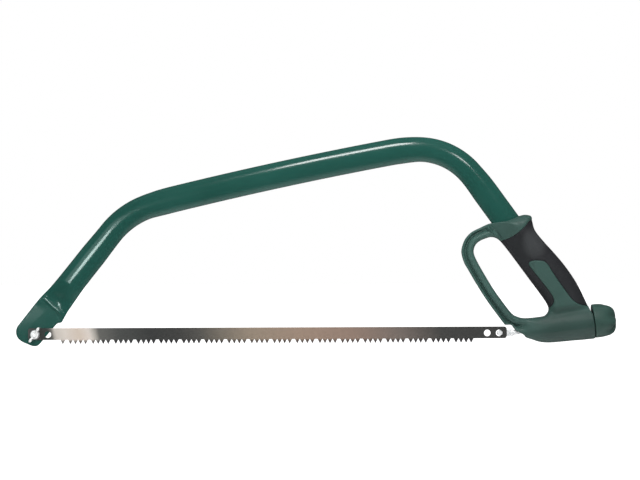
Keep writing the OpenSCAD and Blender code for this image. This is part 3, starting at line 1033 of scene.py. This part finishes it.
def build_rod_hook():
    """Flat strap with a rounded end, a pin towards the viewer, and the shank's root."""
    axes = grid_axes(FITTING_GRID, (526.0, 556.0), (-7.0, 4.5), (-5.5, 6.5))
    x, y, z = np.meshgrid(*axes, indexing="ij")
    past_ends = np.maximum(PIN_X - x, x - STRAP_END_X)
    past_faces = np.abs(y - STRAP_Y) - STRAP_HALF_DEPTH
    past_edges = np.abs(z) - STRAP_HALF_HEIGHT
    strap = smax(smax(past_faces, past_edges, 0.8), past_ends, 0.5)
    from_pin = np.sqrt((x - PIN_X) ** 2 + z**2)
    strap = smin(strap, smax(from_pin - 2.95, past_faces, 0.6), 0.3)
    pin_ends = np.maximum(PIN_NEAR_Y - y, y - (STRAP_Y + STRAP_HALF_DEPTH))
    pin = smax(from_pin - PIN_RADIUS, pin_ends, 0.9)
    along, up = in_frame(x, z, ROD_ORIGIN, ROD_ALONG, ROD_ACROSS)
    shank = smax(
        np.sqrt(up * up + y * y) - PIN_RADIUS, np.maximum(-1.2 - along, along - 5.0), 0.4
    )
    hook = smin(smin(strap, shank, 1.5), pin, 0.25)
    # Faint unevenness on the flat.
    hook = hook + 0.008 * np.sin(x * 1.1) * np.sin(z * 0.9 + 0.7) * (x < 546)
    shell = sdf_mesh(hook, axes, FITTING_GRID)
    add_piece("draw_rod_hook_visual", shell, ZINC_ROD, "rod", "draw_rod")


def build_rod_thread():
    thread_end = KNOB_START + 17.0
    profile = [(3.6, 0.01), (3.6, 2.5), (3.9, ROD_RADIUS)]
    profile += [(float(along), ROD_RADIUS) for along in np.arange(4.0, thread_end, 0.125)]
    profile += [(KNOB_START + 17.2, 2.6), (KNOB_START + 17.7, 2.2), (KNOB_START + 17.7, 0.01)]
    shell = threaded(
        profile, on_rod, segments=40, start=4.4, end=thread_end, pitch=1.0, depth=0.55
    )
    add_piece("draw_rod_thread_visual", shell, ZINC_ROD, "rod")


build_front_screw()
build_front_washer()
build_wing_nut()
build_rod_hook()
build_rod_thread()

# ---------------------------------------------------------------- blade
NOSE_HOLE_X, REAR_HOLE_X = 0.75, 530.75
HOLE_SPACING = 13.6  # to the second hole at each end
HOLE_RADIUS = 3.8
BLADE_START, BLADE_END = NOSE_HOLE_X - 8.95, REAR_HOLE_X + 8.65
BLADE_TOP, BLADE_BOTTOM = 7.2, -6.0
BLADE_CORNER = 3
BLADE_BEVEL = 0.07

# Teeth stand in groups of four; only the last tooth of the first group is cut.
FIRST_TOOTH_X = 14.3
GROUP_COUNT, GROUP_PITCH = 19, 25.95
GROUP_TEETH, TOOTH_PITCH = 4, 5.77
# Right half of a tooth, root to tip: x from its middle, z from the blade's bottom edge.
HALF_TOOTH = [(2.87, 0), (2.62, -0.16), (2.32, -0.62), (0.16, -4.85)]
TOOTH_SET = 0.42
SET_START_Z, SET_HEIGHT = -6.3, 4.5


def blade_teeth():
    """(x, place in group) of each tooth, from the handle end to the nose."""
    teeth = [
        (FIRST_TOOTH_X + g * GROUP_PITCH + k * TOOTH_PITCH, k)
        for g in range(GROUP_COUNT)
        for k in range(GROUP_TEETH)
        if g > 0 or k == GROUP_TEETH - 1
    ]
    return sorted(teeth, reverse=True)


def blade_outline(teeth):
    def corner(x, z, start):
        angles = [math.radians(start - 90 * i / 6) for i in range(7)]
        return [(x + BLADE_CORNER * math.cos(a), z + BLADE_CORNER * math.sin(a)) for a in angles]

    start_x, end_x = BLADE_START + BLADE_CORNER, BLADE_END - BLADE_CORNER
    top_z, bottom_z = BLADE_TOP - BLADE_CORNER, BLADE_BOTTOM + BLADE_CORNER
    points = corner(start_x, top_z, 180) + corner(end_x, top_z, 90)
    points += corner(end_x, bottom_z, 0)
    for x, _ in teeth:
        points += [(x + dx, BLADE_BOTTOM + dz) for dx, dz in HALF_TOOTH]
        points += [(x - dx, BLADE_BOTTOM + dz) for dx, dz in reversed(HALF_TOOTH)]
    return points + corner(start_x, bottom_z, -90)


def blade_sheet(teeth):
    """Bevelled flat mesh of the blade with its four holes, lying in the curve's xy plane."""
    curve = bpy.data.curves.new("blade_outline", "CURVE")
    curve.dimensions = "2D"
    curve.fill_mode = "BOTH"
    curve.extrude = (BLADE_HALF_THICKNESS - BLADE_BEVEL) * MM
    curve.bevel_depth = BLADE_BEVEL * MM
    curve.bevel_resolution = 1

    def add_loop(points):
        loop = curve.splines.new("POLY")
        loop.points.add(len(points) - 1)
        for point, (x, z) in zip(loop.points, points):
            point.co = (scene_x(x), scene_z(z), 0, 1)
        loop.use_cyclic_u = True

    add_loop(blade_outline(teeth))
    radius = HOLE_RADIUS + BLADE_BEVEL
    angles = np.linspace(0, 2 * math.pi, 49)[:-1]
    for x in (
        NOSE_HOLE_X, NOSE_HOLE_X + HOLE_SPACING, REAR_HOLE_X - HOLE_SPACING, REAR_HOLE_X
    ):
        add_loop([(x + radius * math.cos(a), radius * math.sin(a)) for a in angles])
    carrier = bpy.data.objects.new("tmp_blade", curve)
    bpy.context.scene.collection.objects.link(carrier)
    bpy.context.view_layer.update()
    depsgraph = bpy.context.evaluated_depsgraph_get()
    mesh = bpy.data.meshes.new_from_object(carrier.evaluated_get(depsgraph))
    bpy.data.objects.remove(carrier)
    bpy.data.curves.remove(curve)
    return mesh


def stand_and_set(mesh, teeth):
    """Stands the sheet up in xz, thins the teeth and sets them to alternate sides."""
    co = np.zeros(len(mesh.vertices) * 3, np.float32)
    mesh.vertices.foreach_get("co", co)
    co = co.reshape(-1, 3).astype(float)
    x, z, y = co[:, 0], co[:, 1], -co[:, 2]
    tooth_x = np.array([t[0] for t in teeth])
    tooth_place = np.array([t[1] for t in teeth])
    nearest = np.abs((x / MM + ORIGIN_X)[:, None] - tooth_x[None, :]).argmin(1)
    depth = np.clip((SET_START_Z - (z / MM + ORIGIN_Z)) / SET_HEIGHT, 0, 1)
    side = np.where(tooth_place[nearest] % 2 == 0, 1.0, -1.0)
    y = y * (1 - 0.45 * depth) + side * depth * TOOTH_SET * MM
    y = y + (BLADE_BACK_Y - BLADE_HALF_THICKNESS) * MM
    mesh.vertices.foreach_set("co", np.stack([x, y, z], -1).astype(np.float32).ravel())
    mesh.update()


def build_blade():
    teeth = blade_teeth()
    mesh = blade_sheet(teeth)
    stand_and_set(mesh, teeth)
    blade = bpy.data.objects.new("blade_visual", mesh)
    bpy.context.scene.collection.objects.link(blade)
    mesh.materials.clear()
    mesh.materials.append(BLADE)
    mesh.polygons.foreach_set("use_smooth", [False] * len(mesh.polygons))
    bm = bmesh.new()
    bm.from_mesh(mesh)
    bmesh.ops.remove_doubles(bm, verts=bm.verts, dist=1e-7)
    bmesh.ops.recalc_face_normals(bm, faces=bm.faces)
    bm.to_mesh(mesh)
    bm.free()
    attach(blade, "saw_blade")
    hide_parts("blade")


build_blade()

# The nut and thrust washer stay as their CAD solids, which may come without a slot.
for node in ("knob_nut", "thrust_washer"):
    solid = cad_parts[node]
    if not solid.material_slots:
        solid.data.materials.append(ZINC_DULL)
    for slot in solid.material_slots:
        slot.material = ZINC_DULL

# ---------------------------------------------------------------- stage
FLOOR_Z = -150.0
FLOOR_HALF_SIZE = 12.0  # metres
VIEW_X, VIEW_Z = 326.2, 107.05
CAMERA_DISTANCE = 3000.0
CAMERA_POINT = (VIEW_X, -CAMERA_DISTANCE, VIEW_Z)
VIEW_WIDTH = 732.8  # seen at the saw's plane
SENSOR_WIDTH = 36
CAMERA_ROLL = 0.222

scene = bpy.context.scene
scene.view_settings.view_transform = "Standard"
scene.view_settings.look = "None"
scene.view_settings.exposure = 0
scene.view_settings.gamma = 1


def stage_floor():
    """Pale floor that glows to the camera only and is not mirrored."""
    mesh = bpy.data.meshes.new("floor")
    z, s = scene_z(FLOOR_Z), FLOOR_HALF_SIZE
    mesh.from_pydata([(-s, -s, z), (s, -s, z), (s, s, z), (-s, s, z)], [], [(0, 1, 2, 3)])
    floor = bpy.data.objects.new("floor", mesh)
    scene.collection.objects.link(floor)
    m = Material("pale_floor")
    glow = m.add("ShaderNodeEmission")
    glow.inputs["Color"].default_value = grey(1)
    seen = m.add("ShaderNodeLightPath").outputs["Is Camera Ray"]
    m.link(m.scaled(seen, gain=0.75, offset=0.0), glow.inputs["Strength"])
    both = m.add("ShaderNodeAddShader")
    m.finish(Base_Color=grey(0.86), Roughness=0.9, Specular_IOR_Level=0.1)
    m.link(m.shader.outputs[0], both.inputs[0])
    m.link(glow.outputs[0], both.inputs[1])
    m.link(both.outputs[0], m.tree.nodes["Material Output"].inputs["Surface"])
    mesh.materials.append(m.material)
    floor.visible_glossy = False


stage_floor()


def build_world():
    """White to the camera, a dim room to mirrors, soft top-heavy light to the rest."""
    world = bpy.data.worlds.new("studio")
    scene.world = world
    world.use_nodes = True
    n = Nodes(world.node_tree)
    light = n.tree.nodes["Background"]
    path = n.add("ShaderNodeLightPath").outputs
    axes = n.axes("Generated")
    # Mirrored room from the viewer's side (0) to behind the saw (1), bright from below.
    levels = ((0.15, 0.05), (0.35, 0.14), (0.55, 0.10), (0.75, 0.12))
    room = n.ramp(
        n.map_range(axes["Y"], start=-1.0, end=1.0),
        [(0.0, (0.04, 0.05, 0.05, 1))]
        + [(position, grey(level)) for position, level in levels]
        + [(1.0, grey(0.20))],
    )
    below = n.map_range(axes["Z"], start=-0.55, end=-0.95, top=0.75)
    room = n.mix(1.0, room, below, blend="ADD")
    height = n.map_range(axes["Z"], start=-1.0, end=1.0)
    soft = n.ramp(height, [(0.0, grey(0.46)), (1.0, grey(0.84))])
    n.link(n.mix(path["Is Glossy Ray"], soft, room), light.inputs["Color"])
    light.inputs["Strength"].default_value = 0.85
    backdrop = n.add("ShaderNodeBackground")
    backdrop.inputs["Color"].default_value = grey(1)
    backdrop.inputs["Strength"].default_value = 1.0
    choose = n.add("ShaderNodeMixShader")
    n.link(path["Is Camera Ray"], choose.inputs[0])
    n.link(light.outputs[0], choose.inputs[1])
    n.link(backdrop.outputs[0], choose.inputs[2])
    n.link(choose.outputs[0], n.tree.nodes["World Output"].inputs["Surface"])


build_world()

COOL = (0.82, 1.0, 0.97)


def softbox(
    name, place, target, size, power, shape="RECTANGLE", colour=(1, 1, 1), roll=0, mirrored=True
):
    """Area light aimed from place to target (mm); size is its two sides in metres."""
    data = bpy.data.lights.new(name, "AREA")
    data.energy = power
    data.shape = shape
    data.size, data.size_y = size
    data.color = colour
    light = bpy.data.objects.new(name, data)
    scene.collection.objects.link(light)
    start, end = Vector(to_scene(place)), Vector(to_scene(target))
    light.location = start
    aim = (end - start).to_track_quat("-Z", "Y").to_matrix()
    light.rotation_euler = (aim @ Matrix.Rotation(math.radians(roll), 3, "Z")).to_euler()
    light.visible_glossy = mirrored


def mirrored_place(point, heading, facing, distance):
    """Place, distance away, whose light the tube mirrors to the camera from point.

    The tube's surface there leans by facing degrees from the viewer to the left of heading.
    """
    point = np.array(point, float)
    sight = point - np.array(CAMERA_POINT)
    sight = sight / np.linalg.norm(sight)
    lean = math.radians(facing)
    side = left(heading)
    normal = np.array([side[0] * math.sin(lean), -math.cos(lean), side[1] * math.sin(lean)])
    return point + distance * (sight - 2 * sight.dot(normal) * normal)


def tube_softbox(name, point, heading, facing, distance, **settings):
    softbox(name, mirrored_place(point, heading, facing, distance), point, **settings)


def build_lights():
    nose_leg = dict(
        point=[66.0, -8.0, 91.0], heading=NOSE_HEADING, distance=1500,
        shape="ELLIPSE", colour=COOL, roll=-39,
    )
    tube_softbox(
        "bar_softbox", point=[392.0, -7.0, 207.0], heading=12.5, facing=17.5, distance=900,
        size=(0.28, 0.17), power=2.1,
    )
    tube_softbox("leg_softbox", facing=4.5, size=(0.36, 0.13), power=1.5, **nose_leg)
    tube_softbox("leg_halo", facing=9.5, size=(0.85, 0.40), power=0.8, **nose_leg)
    tube_softbox(
        "bend_softbox", point=[484.0, -7.5, 203.5], heading=-38.0, facing=10.7, distance=900,
        size=(0.11, 0.14), power=0.4, shape="ELLIPSE", roll=-128,
    )
    # Broad fill: name, place, target, sides, power.
    for name, place, target, size, power in (
        ("soft_right", (650, -900, 950), (520, 0, 100), (0.7, 0.7), 6.5),
        ("soft_top", (250, -300, 1500), (300, 0, 100), (1.4, 0.8), 8),
        ("soft_back", (300, 1300, 450), (300, 0, 100), (1.2, 0.8), 6),
    ):
        softbox(name, place, target, size, power, mirrored=False)


build_lights()


def build_camera():
    data = bpy.data.cameras.new("camera")
    data.sensor_width = SENSOR_WIDTH
    data.lens = SENSOR_WIDTH * CAMERA_DISTANCE / VIEW_WIDTH
    data.clip_end = 50
    camera = bpy.data.objects.new("camera", data)
    scene.collection.objects.link(camera)
    camera.location = Vector(to_scene(CAMERA_POINT))
    roll = Matrix.Rotation(math.radians(CAMERA_ROLL), 3, "Y")
    camera.rotation_euler = (roll @ Matrix.Rotation(math.radians(90), 3, "X")).to_euler()
    scene.camera = camera


build_camera()
